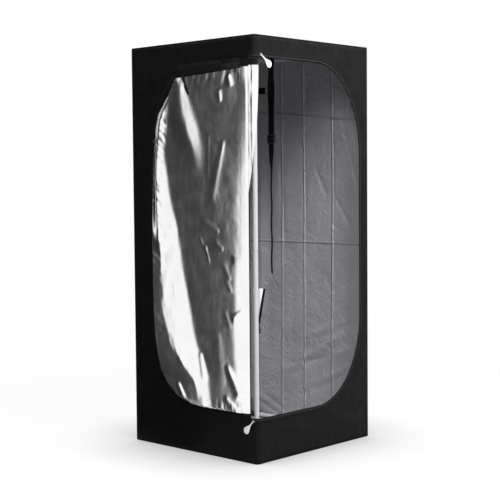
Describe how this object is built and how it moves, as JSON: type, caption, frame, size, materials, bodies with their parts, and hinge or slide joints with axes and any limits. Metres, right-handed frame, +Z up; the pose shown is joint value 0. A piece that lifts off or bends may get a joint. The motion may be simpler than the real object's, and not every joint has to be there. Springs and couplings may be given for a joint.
{
  "type": "indoor grow tent",
  "caption": "Tall square indoor grow tent in black canvas with a silver lining, its D-shaped zip door open and laid back.",
  "frame": {"origin": "middle of the tent's footprint, on the underside of its floor", "axes": "+Z up; the door's front is -Y and its hinge seam is on the -X wall, beside the front left corner"},
  "size_m": [0.6288, 0.6768, 1.3997],
  "materials": {
    "black_canvas": "black coated polyester canvas",
    "silver_lining": "metallised reflective film on canvas",
    "white_enamel": "white powder-coated steel tube",
    "black_plastic": "moulded black plastic",
    "black_webbing": "woven black webbing",
    "black_net": "black net",
    "dark_zip_metal": "black-coated zinc",
    "white_pull": "smooth white plastic"
  },
  "bodies": {
    "tent": {"floor_socket_front_left": "black_plastic", "floor_socket_front_right": "black_plastic", "floor_socket_back_right": "black_plastic", "floor_socket_back_left": "black_plastic", "roof_socket_front_left": "black_plastic", "roof_socket_front_right": "black_plastic", "roof_socket_back_right": "black_plastic", "roof_socket_back_left": "black_plastic", "upright_lower_front_left": "white_enamel", "upright_upper_front_left": "white_enamel", "upright_lower_front_right": "white_enamel", "upright_upper_front_right": "white_enamel", "upright_lower_back_right": "white_enamel", "upright_upper_back_right": "white_enamel", "upright_lower_back_left": "white_enamel", "upright_upper_back_left": "white_enamel", "floor_bar_front": "white_enamel", "floor_bar_back": "white_enamel", "floor_bar_left": "white_enamel", "floor_bar_right": "white_enamel", "roof_bar_front": "white_enamel", "roof_bar_back": "white_enamel", "roof_bar_left": "white_enamel", "roof_bar_right": "white_enamel", "front_panel": "black_canvas", "side_wall_left": "black_canvas", "side_wall_right": "black_canvas", "back_wall": "black_canvas", "roof_panel": "black_canvas", "floor_panel": "black_canvas", "roof_piping": "black_webbing", "floor_piping": "black_webbing", "wall_zip_tape": "black_webbing", "hinge_seam_binding": "black_webbing", "door_corner_tuck": "silver_lining", "tie_gusset": "silver_lining", "tie_strap": "black_webbing", "tie_buckle": "black_plastic", "stay_snap": "black_plastic", "duct_sleeve": "black_canvas", "vent_net": "black_net", "pole_tab": "black_webbing"},
    "door_strip": {"door_hinge_strip": "silver_lining"},
    "door": {"door_panel": "silver_lining", "door_hem": "black_webbing", "door_stay": "black_webbing", "door_tie_ring": "black_plastic"},
    "door_edge": {"door_zip_flap": "black_canvas", "door_zip_tape": "black_webbing"},
    "slider_top": {"zip_slider_top": "dark_zip_metal"},
    "pull_top": {"zip_pull_top": "white_pull"},
    "slider_low": {"zip_slider_low": "dark_zip_metal"},
    "pull_low": {"zip_pull_low": "white_pull"},
    "bar": {"hanging_bar": "white_enamel", "bar_clip_left": "black_plastic", "bar_clip_right": "black_plastic"},
    "strap": {"hanging_strap": "black_webbing"},
    "strap_buckle": {"strap_buckle": "black_plastic"},
    "vent_cover": {"vent_flap": "black_canvas"}
  },
  "joints": [
    {"name": "door_swing", "type": "hinge", "parent": "tent", "child": "door_strip", "pos_m": [-0.3027, -0.272, 0.739], "axis": [0, 0, 1], "range_deg": [0, 180]},
    {"name": "door_fold", "type": "hinge", "parent": "door_strip", "child": "door", "pos_m": [-0.3027, -0.2413, 0.739], "axis": [0, 0, 1], "range_deg": [0, 90]},
    {"name": "door_draw", "type": "slide", "parent": "door", "child": "door_edge", "axis": [0, 1, 0], "range_m": [0, 0.105]},
    {"name": "slider_top_run", "type": "slide", "parent": "tent", "child": "slider_top", "axis": [1, 0, 0], "range_m": [0, 0.27]},
    {"name": "pull_top_swing", "type": "hinge", "parent": "slider_top", "child": "pull_top", "pos_m": [-0.272, -0.3051, 1.3345], "axis": [0, -1, 0], "range_deg": [-130, 40]},
    {"name": "slider_low_run", "type": "hinge", "parent": "tent", "child": "slider_low", "pos_m": [-0.2874, -0.2874, 0.1435], "axis": [0, 0, 1], "range_deg": [0, 90]},
    {"name": "pull_low_swing", "type": "hinge", "parent": "slider_low", "child": "pull_low", "pos_m": [-0.3051, -0.2874, 0.1435], "axis": [1, 0, 0], "range_deg": [-117, 38]},
    {"name": "bar_slide", "type": "slide", "parent": "tent", "child": "bar", "axis": [0, 1, 0], "range_m": [-0.06, 0.06]},
    {"name": "strap_swing", "type": "hinge", "parent": "bar", "child": "strap", "pos_m": [0.112, 0, 1.38595], "axis": [1, 0, 0], "range_deg": [-14, 14]},
    {"name": "buckle_slide", "type": "slide", "parent": "strap", "child": "strap_buckle", "axis": [0, 0, 1], "range_m": [0, 0.085]},
    {"name": "vent_cover_lift", "type": "hinge", "parent": "tent", "child": "vent_cover", "pos_m": [0, 0.3018, 0.283], "axis": [1, 0, 0], "range_deg": [0, 160]}
  ],
  "couplings": [
    {"joint": "door_fold", "follows": "door_swing", "ratio": 0.5},
    {"joint": "door_draw", "follows": "door_swing", "m_per_rad": 0.0334}
  ]
}
